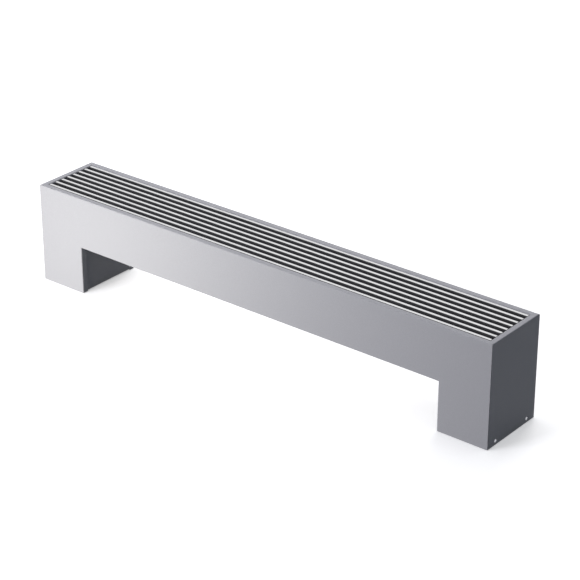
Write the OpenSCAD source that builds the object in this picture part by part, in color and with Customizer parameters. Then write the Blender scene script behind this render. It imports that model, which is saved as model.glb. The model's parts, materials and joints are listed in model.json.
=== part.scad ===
// Floor convector: a bench-shaped casing of folded sheet steel that bridges two legs.
// A linear grille lies in its top, a finned copper heat exchanger hangs below the grille
// between two stands, and the valves stand in the right leg.
// Lengths are in millimetres. X runs along the casing, -Y is the front, Z = 0 is the floor.

/* [Casing] */
// Length of the casing
case_l = 1000; // [800:50:1600]
// Depth of the casing
case_d = 138; // [134:1:170]
// Height of the body that bridges the legs
body_h = 100; // [98:0.5:130]
// Height of each leg, which is the gap under the bridge
leg_h = 92.5; // [88:0.5:140]
// Width of each leg
leg_w = 100; // [98:1:130]
// Thickness of the casing sheet
sheet_t = 1.5; // [1:0.1:1.8]
// Inside radius of the casing's folds
fold_r = 0.5; // [0.3:0.1:1.2]
// Width of the border round the grille
border_w = 11.5; // [9:0.5:13]
// Width of the ledge that carries the grille
ledge_w = 8; // [6:0.5:10]
// Width of the inward hems round the gap between the legs
hem_w = 12; // [8:0.5:13]
// Width of the mitred seams between the four casing sheets
seam_gap = 0.15; // [0.05:0.05:0.3]
// Width of each side of the corner angles
angle_w = 12; // [8:0.5:12]
// Distance from the middle of each cross brace to the middle of the casing
brace_x = 200; // [100:10:300]
// Width of the cross braces
brace_w = 24; // [16:1:40]
// Height of the cross braces
brace_h = 8; // [5:0.5:10]
// Sheet thickness of the cross braces
brace_t = 1.2; // [0.8:0.1:1.5]
// Thickness of the damping strips on the ledge
strip_t = 1.3; // [1:0.1:2]

/* [Grille] */
// Number of long bars
bar_count = 8; // [6:1:9]
// Width of a bar's face
bar_w = 5.5; // [4.5:0.25:6.5]
// Height of a bar
bar_h = 16; // [14:0.5:18]
// Thickness of a bar's face
bar_face_t = 1.6; // [1.2:0.1:2.5]
// Thickness of a bar's web
bar_web_t = 2.4; // [2:0.1:3]
// Width of a bar's foot
bar_foot_w = 4; // [3.5:0.25:4.5]
// Thickness of a bar's foot
bar_foot_t = 1.2; // [0.8:0.1:2]
// Rounding of a bar's upper edges
bar_edge_r = 0.5; // [0.2:0.1:0.8]
// Gap between the outer bars and the border
bar_side_gap = 1.55; // [1:0.05:2]
// Gap between the bar ends and the border
bar_end_gap = 1; // [0.5:0.1:2]
// Depth of the bar faces below the border
bar_drop = 0.8; // [0:0.1:1.5]
// Number of cross rods
rod_count = 7; // [4:1:11]
// Diameter of the cross rods
rod_d = 4; // [3:0.25:4.5]
// Depth of the rods' axis below the bar faces
rod_depth = 10.5; // [9:0.25:11]
// Distance from the outer rods to the bar ends
rod_end_inset = 22; // [12:1:60]
// Diameter of the spacer sleeves and rod caps
sleeve_d = 7; // [6:0.25:7.5]
// Thickness of the rod caps
rod_cap_t = 1.2; // [0.8:0.1:1.3]

/* [Heat exchanger] */
// Outside diameter of the copper tubes
tube_d = 15; // [12:0.5:16]
// Wall thickness of the copper tubes
tube_wall = 1; // [0.7:0.1:1.5]
// Distance between the front and rear tubes
tube_pitch_y = 50; // [48:1:54]
// Free height from the fins up to the cross braces
fin_top_gap = 7.7; // [6:0.1:9]
// Thickness of one fin
fin_t = 0.4; // [0.3:0.1:0.8]
// Distance from fin to fin
fin_pitch = 8; // [5:0.5:12]
// Length of the drawn collars that grip the tubes, beside each fin
collar_l = 3; // [1:0.5:4]
// Gap from the fins to the hems, seen from above
fin_side_gap = 3; // [2:0.5:8]
// Distance from the end plates to the first fin
fin_end_gap = 16; // [10:1:40]
// Height of the fins above the underside of the bridge
fin_lift = 4.5; // [3:0.5:8]
// Thickness of the end plates
plate_t = 1.5; // [1:0.1:2]
// Width of the end plates' folded edge
plate_flange_w = 10; // [6:0.5:12]
// Diameter of the end plate bolts
plate_bolt_d = 5; // [4:0.5:6]
// Distance from the end plate bolts to the plate's side edge
plate_bolt_inset = 5.5; // [5:0.5:7]
// Length of the sockets on bends and tails
socket_l = 8; // [6:0.5:10]
// Wall thickness of the sockets
socket_wall = 1.1; // [0.8:0.1:1.5]

/* [Stands] */
// Sheet thickness of the stands
stand_t = 2; // [1.5:0.1:3]
// Inside radius of the stands' folds
stand_fold_r = 1; // [0.5:0.1:1.5]
// Height of the outer flange that takes the casing screws
stand_flange_h = 16; // [14:0.5:24]
// Distance from the front and rear of the casing to the anchor holes
anchor_inset = 13; // [12:0.5:14]
// Distance from the leg's inner side to the first pair of anchor holes
anchor_x = 18; // [14:0.5:22]
// Distance between the two pairs of anchor holes, along the casing
anchor_pitch = 62; // [50:1:64]
// Diameter of the anchor holes
anchor_d = 7; // [5:0.5:8]
// Length of the opening for the pipes, along the casing
pipe_window_l = 44; // [36:1:46]
// Diameter of the casing screws
screw_d = 3; // [2.5:0.5:4]
// Diameter of the casing screws' heads
screw_head_d = 5.7; // [5:0.1:8]
// Height of the casing screws' heads
screw_head_h = 1.65; // [1.4:0.05:2.5]
// Length of the casing screws below the head
screw_l = 8; // [8:0.5:12]
// Distance from the casing screws to the front and rear of the casing
screw_inset = 23; // [22:0.5:40]
// Height of the casing screws above the floor
screw_z = 7.5; // [7:0.5:10]

/* [Valves] */
// Distance from the leg's inner side to the valves' axes
valve_x = 62; // [60:0.5:64]
// Diameter of the bore for the half-inch pipe thread
inlet_d = 18.6; // [16:0.1:19]
// Depth of the pipe thread
inlet_depth = 14; // [12:0.5:15]
// Distance from the valves' underside to their outlet axis
valve_drop = 30; // [29:0.5:34]
// Distance from the outlet axis to the top of the valve neck
valve_rise = 16; // [15:0.5:17]
// Width across the flats of the valves' foot
valve_hex_af = 27; // [24:0.5:28]
// Diameter of the round valve chamber
valve_bulb_d = 34; // [31:0.5:34]
// Diameter of the union thread
union_d = 26.4; // [25:0.1:26.6]
// Width across the flats of the union nuts
union_af = 30; // [30:0.5:31]
// Length of the union nuts
union_l = 16; // [14:0.5:17]
// Thickness of the union gaskets
gasket_t = 2; // [1:0.1:2.5]
// Stroke of both valve cones
valve_stroke = 2.7; // [1.5:0.1:2.8]
// Diameter of the handwheel
wheel_d = 34; // [32:0.5:36]
// Height of the handwheel
wheel_h = 28; // [26:0.5:30]
// Number of grip flutes round the handwheel
wheel_flutes = 12; // [8:1:18]
// Depth of the grip flutes
wheel_flute_depth = 0.7; // [0.3:0.1:0.9]
// Diameter of the return valve's spindle
spindle_d = 8; // [6:0.5:9]
// Diameter of the return valve's cap
cap_d = 24; // [23:0.5:26]
// Height of the return valve's cap
cap_h = 14; // [12:0.5:16]
// Diameter of the air vent screw
vent_screw_d = 5; // [4:0.5:6]
// Width across the flats of the air vent body
vent_af = 12; // [10:0.5:14]

/* [Hidden] */
$fn = 48;
// The pieces of the convector, one node each

// Length by which every cut runs past what it cuts
overrun = 2;
// Gap between a shaft and the hole that it turns or slides in
run_gap = 0.05;
// Gap between a fixed piece and the hole that it sits in
fit_gap = 0.1;
// Gap between two faces that meet without touching
face_gap = 0.2;

// Casing
case_h = body_h + leg_h;
fold_R = fold_r + sheet_t;
half_l = case_l / 2;
half_d = case_d / 2;
gap_half_l = half_l - leg_w;
inner_half_l = half_l - sheet_t;
inner_half_d = half_d - sheet_t;
bar_top = case_h - bar_drop;
bar_bottom = bar_top - bar_h;
ledge_top = bar_bottom - face_gap - strip_t;
ledge_bottom = ledge_top - sheet_t;
opening_half_l = half_l - border_w;
opening_half_d = half_d - border_w;
angle_gap = 2;
strip_w = ledge_w - fold_r - face_gap;

// Stands
stand_R = stand_fold_r + stand_t;
stand_x = gap_half_l + sheet_t;
flange_gap = 1.5;
flange_half_d = inner_half_d - angle_w - flange_gap;
screw_hole_gap = 0.25;
screw_y = half_d - screw_inset;
nut_af = 5.5;
nut_t = 2.4;
anchor_y = half_d - anchor_inset;
window_side = 9;
window_half_d = anchor_y - window_side;
window_corner_r = 6;
ear_top_gap = 5;
ear_foot_gap = 3;
ear_window_gap = 10;
ear_r = 4;

// Heat exchanger
fin_bottom = leg_h + fin_lift;
fin_half_d = half_d - hem_w - fin_side_gap;
fin_h = ledge_bottom - brace_h - fin_top_gap - fin_bottom;
tube_rows_share = 0.5;
tube_pitch_z = tube_rows_share * fin_h;
tube_mid_z = fin_bottom + fin_h / 2;
tube_low_z = tube_mid_z - tube_pitch_z / 2;
tube_high_z = tube_mid_z + tube_pitch_z / 2;
tube_y = tube_pitch_y / 2;
tube_end_gap = 1;
socket_x = stand_x + stand_t + tube_end_gap;
tube_end_x = socket_x + socket_l;
bend_x = tube_end_x + socket_wall;
fin_span = 2 * (gap_half_l - fin_end_gap);
fin_count = floor(fin_span / fin_pitch) + 1;
plate_side_gap = 2;
plate_rise = 1;
plate_half_d = half_d - hem_w - plate_side_gap;
plate_bottom = fin_bottom + plate_rise;
plate_top = fin_bottom + fin_h - plate_rise;
plate_bolt_y = plate_half_d - plate_bolt_inset;
plate_bolt_af_share = 1.6;
plate_bolt_af = plate_bolt_af_share * plate_bolt_d;
plate_bolt_head_share = 0.7;
plate_nut_share = 0.8;
plate_bolt_tail = 1.5;

// Valves and unions
valve_axis_x = gap_half_l + valve_x;
valve_bottom = tube_low_z - valve_drop;
neck_top = tube_low_z + valve_rise;
inlet_stop_d = 12;
side_bore_d = 14;
seat_drop = 1;
seat_z = tube_low_z - side_bore_d / 2 - seat_drop;
chamber_d = 19;
neck_d = 28;
hex_h = inlet_depth + overrun;
union_end_gap = 8;
union_x = valve_axis_x - valve_bulb_d / 2 - union_end_gap;
collar_t = 3;
collar_d = 24;
nut_lip = 3;
nut_x = union_x - gasket_t - collar_t - nut_lip;
insert_plug_l = 8;
collar_h = 8;
wheel_bore_d = 30;
pin_d = 3;
pin_rise = 3;
cone_d = 16;
cone_t = 3;
cone_bottom = seat_z + valve_stroke + face_gap;
pin_top = neck_top + collar_h + pin_rise;
plunger_d = 8;
plunger_l = 9;
wheel_lift = 1;
wheel_roof_t = 5;
wheel_wall = 4.5;
wheel_chamfer = 1.5;
guide_wall = 2.5;
bonnet_hex_h = 6;
bonnet_af = 22;
bonnet_thread_d = 20;
bonnet_thread_h = 8;
bonnet_top = neck_top + bonnet_hex_h + bonnet_thread_h;
bonnet_rim_t = 1;
bonnet_rim_d = 9;
spindle_head_d = 14;
spindle_head_h = 5;
head_top = bonnet_top - bonnet_rim_t - face_gap;
head_bottom = head_top - spindle_head_h;
screw_thread_d = 5;
screw_end_gap = 1;
hub_af = 8;
hub_bottom = cone_bottom + cone_t;
hub_top = neck_top - face_gap;
key_af_share = 0.35;
key_depth = 4;
cap_groove_share = 0.04;
cap_roof_gap = 2.2;
vent_spigot_d = 8;
vent_h = 8;
vent_dip = 1.5;
vent_seat_gap = 0.5;
vent_screw_depth = 6;
vent_outlet_d = 2;
vent_head_d = 8;
vent_head_h = 3;
vent_slot_w = 1.2;
vent_slot_h = 1.5;
vent_x = bend_x + tube_y;
vent_base = tube_high_z + tube_d / 2 + vent_seat_gap;

// Grille
bar_pitch = 2 * (opening_half_d - bar_side_gap - bar_w / 2) / (bar_count - 1);
bar_half_l = opening_half_l - bar_end_gap;
outer_bar_y = bar_pitch * (bar_count - 1) / 2;
rod_z = bar_top - rod_depth;
rod_pitch = 2 * (bar_half_l - rod_end_inset) / (rod_count - 1);
rod_half_l = outer_bar_y + bar_web_t / 2 + rod_cap_t;
bar_taper = 0.8;

// Finishes
paint_colour = [0.74, 0.74, 0.76];
black_colour = [0.13, 0.13, 0.14];
steel_colour = [0.66, 0.67, 0.68];
copper_colour = [0.78, 0.46, 0.3];
brass_colour = [0.76, 0.66, 0.38];
aluminium_colour = [0.88, 0.88, 0.89];
rubber_colour = [0.1, 0.1, 0.1];
white_colour = [0.93, 0.93, 0.91];

// Helpers

// Radius of a hexagon's corners from its width across the flats
function hex_r(af) = af / 2 / cos(30);

// Lays a profile drawn in (Y, Z) out along X, centred
module along_x(l) {
    rotate([90, 0, 90]) linear_extrude(l, center = true) children();
}

// Lays a profile drawn in (X, Z) out along Y, centred
module along_y(l) {
    rotate([90, 0, 0]) linear_extrude(l, center = true) children();
}

// Turns a profile drawn as (radius, length along X) about the X axis
module about_x() {
    rotate([90, 0, 90]) rotate_extrude() children();
}

// Quarter of a ring in the first quadrant
module quarter_ring(r, t) {
    intersection() {
        difference() {
            circle(r + t);
            circle(r);
        }
        square(r + t);
    }
}

// Quarter of a disc in the first quadrant
module quarter_disc(r) {
    intersection() {
        circle(r);
        square(r);
    }
}

// Folded sheet seen from its end: flats joined by right-angle folds. The outer face starts at
// the origin and runs along +X, with the sheet on its right; a turn of -1 folds to the right
// and a turn of 1 to the left.
module folded_sheet(flats, turns, t, r, i = 0) {
    translate([0, -t]) square([flats[i], t]);
    if (i < len(turns)) {
        if (turns[i] < 0) {
            translate([flats[i], -r - t]) quarter_ring(r, t);
            translate([flats[i] + r + t, -r - t]) rotate(-90) folded_sheet(flats, turns, t, r, i + 1);
        } else {
            translate([flats[i], r]) mirror([0, 1]) quarter_ring(r, t);
            translate([flats[i] + r, r]) rotate(90) folded_sheet(flats, turns, t, r, i + 1);
        }
    }
}

// Tube along X between two places
module tube_x(x0, x1, d, bore) {
    translate([x0, 0, 0]) rotate([0, 90, 0]) difference() {
        cylinder(h = x1 - x0, d = d);
        translate([0, 0, -overrun]) cylinder(h = x1 - x0 + 2 * overrun, d = bore);
    }
}

// Mirrors its children to the left half of the convector
module to_left() {
    mirror([1, 0, 0]) children();
}

// Mirrors its children to the rear half of the convector
module to_rear() {
    mirror([0, 1, 0]) children();
}

// Casing

// Edge profile round the top: wall, border, lip and ledge. It starts at height z0 of the
// wall and is drawn as (distance inwards from the outer face, height).
module rail_profile(z0) {
    wall = case_h - z0 - fold_R;
    border = border_w - 2 * fold_R;
    lip = case_h - ledge_top - fold_R - fold_r;
    ledge = ledge_w - fold_r;
    translate([0, z0]) rotate(90) folded_sheet([wall, border, lip, ledge], [-1, -1, 1], sheet_t, fold_r);
}

// Plan of the front half of a mitred frame as deep and long as the casing
module front_mitre() {
    g = seam_gap / sqrt(2);
    linear_extrude(case_h + 2 * overrun) polygon([
        [-half_l + g, -half_d],
        [half_l - g, -half_d],
        [half_l - half_d - g, 0],
        [-half_l + half_d + g, 0]
    ]);
}

// Plan of the right side of the same frame
module end_mitre() {
    g = seam_gap / sqrt(2);
    linear_extrude(case_h + 2 * overrun) polygon([
        [half_l, -half_d + g],
        [half_l, half_d - g],
        [half_l - half_d + g, 0]
    ]);
}

// Hem beside a leg: a fold and a flat that runs inwards, up the leg's inner side
module leg_hem() {
    linear_extrude(leg_h + fold_R) translate([gap_half_l + fold_R, -half_d]) {
        translate([0, fold_R]) rotate(180) quarter_ring(fold_r, sheet_t);
        translate([-fold_R, fold_R]) square([sheet_t, hem_w - fold_R]);
    }
}

// Hem under the bridge
module bridge_hem() {
    translate([0, -half_d, leg_h + fold_R]) along_x(2 * stand_x) {
        translate([fold_R, 0]) rotate(180) quarter_ring(fold_r, sheet_t);
        translate([fold_R, -fold_R]) square([hem_w - fold_R, sheet_t]);
    }
}

// Front sheet of the casing, an n with hems round the gap and the grille's ledge on top
module n_panel() {
    leg_x = gap_half_l + fold_R;
    intersection() {
        union() {
            translate([0, -half_d, 0]) along_x(case_l) rail_profile(leg_h + fold_R);
            for (side = [0, 1]) mirror([side, 0, 0]) {
                translate([leg_x, -half_d, 0]) cube([half_l - leg_x, sheet_t, leg_h + fold_R]);
                leg_hem();
            }
            bridge_hem();
        }
        translate([0, 0, -overrun]) front_mitre();
    }
}

// Right end sheet of the casing, with holes for the casing screws
module end_panel() {
    difference() {
        intersection() {
            translate([half_l, 0, 0]) mirror([1, 0, 0]) along_y(case_d) rail_profile(0);
            translate([0, 0, -overrun]) end_mitre();
        }
        for (side = [-1, 1]) translate([half_l - sheet_t - overrun, side * screw_y, screw_z])
            rotate([0, 90, 0]) cylinder(h = sheet_t + 2 * overrun, d = screw_d + 2 * screw_hole_gap);
    }
}

module front_panel() {
    color(paint_colour) n_panel();
}

module rear_panel() {
    color(paint_colour) to_rear() n_panel();
}

module right_end_panel() {
    color(paint_colour) end_panel();
}

module left_end_panel() {
    color(paint_colour) to_left() end_panel();
}

// Four angles that join the casing sheets inside their corners
module corner_angles() {
    bottom = stand_t + angle_gap;
    top = ledge_bottom - angle_gap;
    color(black_colour) for (sx = [0, 1], sy = [0, 1]) mirror([sx, 0, 0]) mirror([0, sy, 0])
        translate([inner_half_l, -inner_half_d, bottom]) linear_extrude(top - bottom) difference() {
            translate([-angle_w, 0]) square(angle_w);
            translate([-angle_w - overrun, sheet_t]) square([angle_w + overrun - sheet_t, angle_w]);
        }
}

// Channel that holds the front and rear sheets apart under the ledges
module cross_brace() {
    R = fold_r + brace_t;
    side = brace_h - R;
    translate([brace_x - brace_w / 2, 0, ledge_bottom - brace_h]) along_y(2 * inner_half_d)
        rotate(90) folded_sheet([side, brace_w - 2 * R, side], [-1, -1], brace_t, fold_r);
}

module right_cross_brace() {
    color(black_colour) cross_brace();
}

module left_cross_brace() {
    color(black_colour) to_left() cross_brace();
}

// Strips of soft rubber on the flat of the ledge, under the grille
module long_strip() {
    translate([-opening_half_l + fold_r, -opening_half_d + fold_r, ledge_top])
        cube([2 * (opening_half_l - fold_r), strip_w, strip_t]);
}

module end_strip() {
    half = opening_half_d - ledge_w;
    translate([opening_half_l - fold_r - strip_w, -half, ledge_top]) cube([strip_w, 2 * half, strip_t]);
}

module front_damping_strip() {
    color(rubber_colour) long_strip();
}

module rear_damping_strip() {
    color(rubber_colour) to_rear() long_strip();
}

module right_damping_strip() {
    color(rubber_colour) end_strip();
}

module left_damping_strip() {
    color(rubber_colour) to_left() end_strip();
}

// Stands

// Plate in plan with rounded corners, centred
module rounded_plan(l, d, r) {
    square([l - 2 * r, d], center = true);
    square([l, d - 2 * r], center = true);
    for (sx = [-1, 1], sy = [-1, 1]) translate([sx * (l / 2 - r), sy * (d / 2 - r)]) circle(r);
}

// Outline of the stand's upright in (Y, Z), with the open window that the tubes drop into
module upright_plan() {
    half = inner_half_d - fold_R + fold_r;
    ear_z = leg_h + fold_R + ear_foot_gap;
    ear_top = plate_top - ear_top_gap;
    window_half = plate_bolt_y - ear_window_gap;
    difference() {
        union() {
            translate([-half, -overrun]) square([2 * half, ear_z + overrun]);
            translate([-plate_half_d, 0]) square([2 * plate_half_d, ear_top - ear_r]);
            translate([-plate_half_d + ear_r, 0]) square([2 * (plate_half_d - ear_r), ear_top]);
            for (side = [-1, 1]) translate([side * (plate_half_d - ear_r), ear_top - ear_r]) circle(ear_r);
        }
        translate([-window_half, plate_bottom + ear_r]) square([2 * window_half, plate_top]);
        translate([-window_half + ear_r, plate_bottom]) square([2 * (window_half - ear_r), plate_top]);
        for (side = [-1, 1]) translate([side * (window_half - ear_r), plate_bottom + ear_r]) circle(ear_r);
    }
}

// Stand in the right leg: outer flange, foot plate and upright folded from one sheet
module stand() {
    flange = stand_flange_h - stand_R;
    foot = inner_half_l - stand_x - 2 * stand_R;
    upright = plate_top - stand_R;
    wide = 2 * (inner_half_d - fold_R + fold_r);
    difference() {
        translate([inner_half_l, 0, stand_flange_h]) along_y(wide) rotate(-90)
            folded_sheet([flange, foot, upright], [-1, -1], stand_t, stand_fold_r);
        // upright trimmed to its outline
        translate([stand_x - overrun, 0, 0]) rotate([90, 0, 90]) linear_extrude(stand_t + 2 * overrun)
            difference() {
                translate([-half_d, stand_R]) square([case_d, case_h]);
                upright_plan();
            }
        // outer flange trimmed between the corner angles
        for (side = [0, 1]) mirror([0, side, 0])
            translate([inner_half_l - stand_t - overrun, flange_half_d, stand_R])
                cube([stand_t + 2 * overrun, half_d, case_h]);
        // opening for the pipes
        translate([valve_axis_x, 0, -overrun]) linear_extrude(stand_t + 2 * overrun)
            rounded_plan(pipe_window_l, 2 * window_half_d, window_corner_r);
        // floor anchors
        for (i = [0, 1], side = [-1, 1])
            translate([gap_half_l + anchor_x + i * anchor_pitch, side * anchor_y, -overrun])
                cylinder(h = stand_t + 2 * overrun, d = anchor_d);
        for (side = [-1, 1]) {
            translate([inner_half_l - stand_t - overrun, side * screw_y, screw_z]) rotate([0, 90, 0])
                cylinder(h = stand_t + 2 * overrun, d = screw_d + 2 * screw_hole_gap);
            translate([stand_x - overrun, side * plate_bolt_y, tube_mid_z]) rotate([0, 90, 0])
                cylinder(h = stand_t + 2 * overrun, d = plate_bolt_d + 2 * screw_hole_gap);
        }
    }
}

module right_stand() {
    color(paint_colour) stand();
}

module left_stand() {
    color(paint_colour) to_left() stand();
}

// Round-headed screw with a hexagon socket, its head at the end panel
module casing_screw() {
    socket_r = hex_r(screw_d * key_af_share);
    dome_r = (pow(screw_head_d / 2, 2) + pow(screw_head_h, 2)) / 2 / screw_head_h;
    translate([half_l, 0, 0]) difference() {
        about_x() {
            intersection() {
                translate([0, screw_head_h - dome_r]) circle(dome_r);
                square([screw_head_d / 2, screw_head_h]);
            }
            translate([0, -screw_l]) square([screw_d / 2, screw_l]);
        }
        translate([screw_head_h / 2, 0, 0]) rotate([0, 90, 0])
            cylinder(h = screw_head_h, r = socket_r, $fn = 6);
    }
}

module casing_screws() {
    color(steel_colour) for (sx = [0, 1], side = [-1, 1]) mirror([sx, 0, 0])
        translate([0, side * screw_y, screw_z]) casing_screw();
}

// Square weld nuts behind the stands' outer flanges
module casing_nuts() {
    color(steel_colour) for (sx = [0, 1], side = [-1, 1]) mirror([sx, 0, 0])
        translate([inner_half_l - stand_t - nut_t, side * screw_y, screw_z]) difference() {
            translate([0, -nut_af / 2, -nut_af / 2]) cube([nut_t, nut_af, nut_af]);
            translate([-overrun, 0, 0]) rotate([0, 90, 0])
                cylinder(h = nut_t + 2 * overrun, d = screw_d + fit_gap);
        }
}

// Heat exchanger

// Places its children at the four tubes in (Y, Z)
module at_tubes() {
    for (y = [-tube_y, tube_y], z = [tube_low_z, tube_high_z]) translate([y, z]) children();
}

// One fin: a thin plate with a collar drawn out of it round each tube
module fin() {
    hole_d = tube_d + fit_gap;
    along_x(fin_t) difference() {
        translate([-fin_half_d, fin_bottom]) square([2 * fin_half_d, fin_h]);
        at_tubes() circle(d = hole_d + fin_t);
    }
    translate([-fin_t / 2, 0, 0]) rotate([90, 0, 90]) linear_extrude(fin_t + collar_l) at_tubes()
        difference() {
            circle(d = hole_d + 2 * fin_t);
            circle(d = hole_d);
        }
}

module exchanger_fins() {
    first = -(fin_count - 1) * fin_pitch / 2;
    color(black_colour) for (i = [0 : fin_count - 1]) translate([first + i * fin_pitch, 0, 0]) fin();
}

module exchanger_tube(y, z) {
    color(copper_colour) translate([0, y, z])
        tube_x(-tube_end_x, tube_end_x, tube_d, tube_d - 2 * tube_wall);
}

module front_lower_tube() {
    exchanger_tube(-tube_y, tube_low_z);
}

module front_upper_tube() {
    exchanger_tube(-tube_y, tube_high_z);
}

module rear_lower_tube() {
    exchanger_tube(tube_y, tube_low_z);
}

module rear_upper_tube() {
    exchanger_tube(tube_y, tube_high_z);
}

// Half-round bend in the XY plane whose sockets fit over two tube ends at y = -r and y = r
module return_bend(r) {
    translate([bend_x, 0, 0]) rotate(-90) rotate_extrude(angle = 180) translate([r, 0])
        difference() {
            circle(d = tube_d);
            circle(d = tube_d - 2 * tube_wall);
        }
    for (side = [-1, 1]) translate([0, side * r, 0]) {
        tube_x(socket_x, tube_end_x, tube_d + 2 * socket_wall, tube_d + fit_gap);
        tube_x(tube_end_x, bend_x, tube_d + 2 * socket_wall, tube_d - 2 * tube_wall);
    }
}

module left_front_bend() {
    color(copper_colour) to_left() translate([0, -tube_y, tube_mid_z]) rotate([90, 0, 0])
        return_bend(tube_pitch_z / 2);
}

module left_rear_bend() {
    color(copper_colour) to_left() translate([0, tube_y, tube_mid_z]) rotate([90, 0, 0])
        return_bend(tube_pitch_z / 2);
}

// The right bend joins the upper tubes and is drilled for the air vent
module right_bend() {
    color(copper_colour) translate([0, 0, tube_high_z]) difference() {
        return_bend(tube_y);
        translate([vent_x, 0, 0]) cylinder(h = tube_d, d = vent_spigot_d + fit_gap);
    }
}

// End plate with a folded upper edge that carries the four tubes
module exchanger_plate() {
    R = fold_r + plate_t;
    flats = [plate_top - plate_bottom - R, plate_flange_w - R];
    difference() {
        translate([stand_x, 0, plate_bottom]) mirror([1, 0, 0]) along_y(2 * plate_half_d)
            rotate(90) folded_sheet(flats, [-1], plate_t, fold_r);
        translate([stand_x - plate_t - overrun, 0, 0]) rotate([90, 0, 90])
            linear_extrude(plate_t + 2 * overrun) {
                at_tubes() circle(d = tube_d + fit_gap);
                for (side = [-1, 1]) translate([side * plate_bolt_y, tube_mid_z])
                    circle(d = plate_bolt_d + 2 * screw_hole_gap);
            }
    }
}

module right_exchanger_plate() {
    color(steel_colour) exchanger_plate();
}

module left_exchanger_plate() {
    color(steel_colour) to_left() exchanger_plate();
}

// Hexagon bolts that hold the end plates on the stands
module exchanger_bolts() {
    head = plate_bolt_head_share * plate_bolt_d;
    shank = plate_t + stand_t + plate_nut_share * plate_bolt_d + plate_bolt_tail;
    color(steel_colour) for (sx = [0, 1], side = [-1, 1]) mirror([sx, 0, 0])
        translate([stand_x - plate_t, side * plate_bolt_y, tube_mid_z]) rotate([0, 90, 0]) {
            translate([0, 0, -head]) cylinder(h = head, r = hex_r(plate_bolt_af), $fn = 6);
            cylinder(h = shank, d = plate_bolt_d);
        }
}

module exchanger_nuts() {
    h = plate_nut_share * plate_bolt_d;
    color(steel_colour) for (sx = [0, 1], side = [-1, 1]) mirror([sx, 0, 0])
        translate([stand_x + stand_t, side * plate_bolt_y, tube_mid_z]) rotate([0, 90, 0]) difference() {
            cylinder(h = h, r = hex_r(plate_bolt_af), $fn = 6);
            translate([0, 0, -overrun]) cylinder(h = h + 2 * overrun, d = plate_bolt_d + fit_gap);
        }
}

// Air vent on top of the right bend
module air_vent_body() {
    top = vent_base + vent_h;
    spigot_bottom = tube_high_z + tube_d / 2 - tube_wall - vent_dip;
    color(brass_colour) translate([vent_x, 0, 0]) difference() {
        union() {
            translate([0, 0, spigot_bottom]) cylinder(h = vent_base - spigot_bottom, d = vent_spigot_d);
            translate([0, 0, vent_base]) cylinder(h = vent_h, r = hex_r(vent_af), $fn = 6);
        }
        translate([0, 0, top - vent_screw_depth])
            cylinder(h = vent_screw_depth + overrun, d = vent_screw_d + 2 * run_gap);
        translate([0, 0, spigot_bottom - overrun]) cylinder(h = vent_h + overrun, d = vent_outlet_d);
        translate([0, 0, top - vent_screw_depth + vent_outlet_d]) rotate([0, 90, 0])
            cylinder(h = vent_af, d = vent_outlet_d);
    }
}

module air_vent_screw() {
    top = vent_base + vent_h;
    shank = vent_screw_depth - vent_outlet_d;
    color(steel_colour) translate([vent_x, 0, top]) difference() {
        union() {
            translate([0, 0, -shank]) cylinder(h = shank + face_gap, d = vent_screw_d);
            translate([0, 0, face_gap]) cylinder(h = vent_head_h, d = vent_head_d);
        }
        translate([-vent_head_d, -vent_slot_w / 2, face_gap + vent_head_h - vent_slot_h])
            cube([2 * vent_head_d, vent_slot_w, vent_head_h]);
    }
}

// Unions

// Tail brazed on a tube end, with the collar that the union nut pulls on
module tail() {
    outer = tube_d + 2 * socket_wall;
    face = union_x - gasket_t;
    color(brass_colour) about_x() {
        translate([tube_d / 2 + fit_gap / 2, socket_x])
            square([(outer - tube_d - fit_gap) / 2, socket_l]);
        translate([tube_d / 2 - tube_wall, tube_end_x])
            square([(outer - tube_d) / 2 + tube_wall, face - tube_end_x]);
        translate([tube_d / 2 - tube_wall, face - collar_t])
            square([collar_d / 2 - tube_d / 2 + tube_wall, collar_t]);
    }
}

module union_nut() {
    outer = tube_d + 2 * socket_wall;
    color(brass_colour) translate([nut_x, 0, 0]) rotate([0, 90, 0]) difference() {
        cylinder(h = union_l, r = hex_r(union_af), $fn = 6);
        translate([0, 0, -overrun]) cylinder(h = union_l, d = outer + 2 * fit_gap);
        translate([0, 0, nut_lip]) cylinder(h = union_l, d = union_d + 2 * fit_gap);
    }
}

module union_gasket() {
    color(rubber_colour) tube_x(union_x - gasket_t, union_x, collar_d, side_bore_d);
}

// Places its children at the supply or the return tube's axis
module at_supply() {
    translate([0, -tube_y, tube_low_z]) children();
}

module at_return() {
    translate([0, tube_y, tube_low_z]) children();
}

module supply_tail() {
    at_supply() tail();
}

module return_tail() {
    at_return() tail();
}

module supply_union_nut() {
    at_supply() union_nut();
}

module return_union_nut() {
    at_return() union_nut();
}

module supply_gasket() {
    at_supply() union_gasket();
}

module return_gasket() {
    at_return() union_gasket();
}

// Valves

// Cylinder about a valve's own axis between two heights
module upright_cylinder(z0, z1, d) {
    translate([0, 0, z0]) cylinder(h = z1 - z0, d = d);
}

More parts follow.
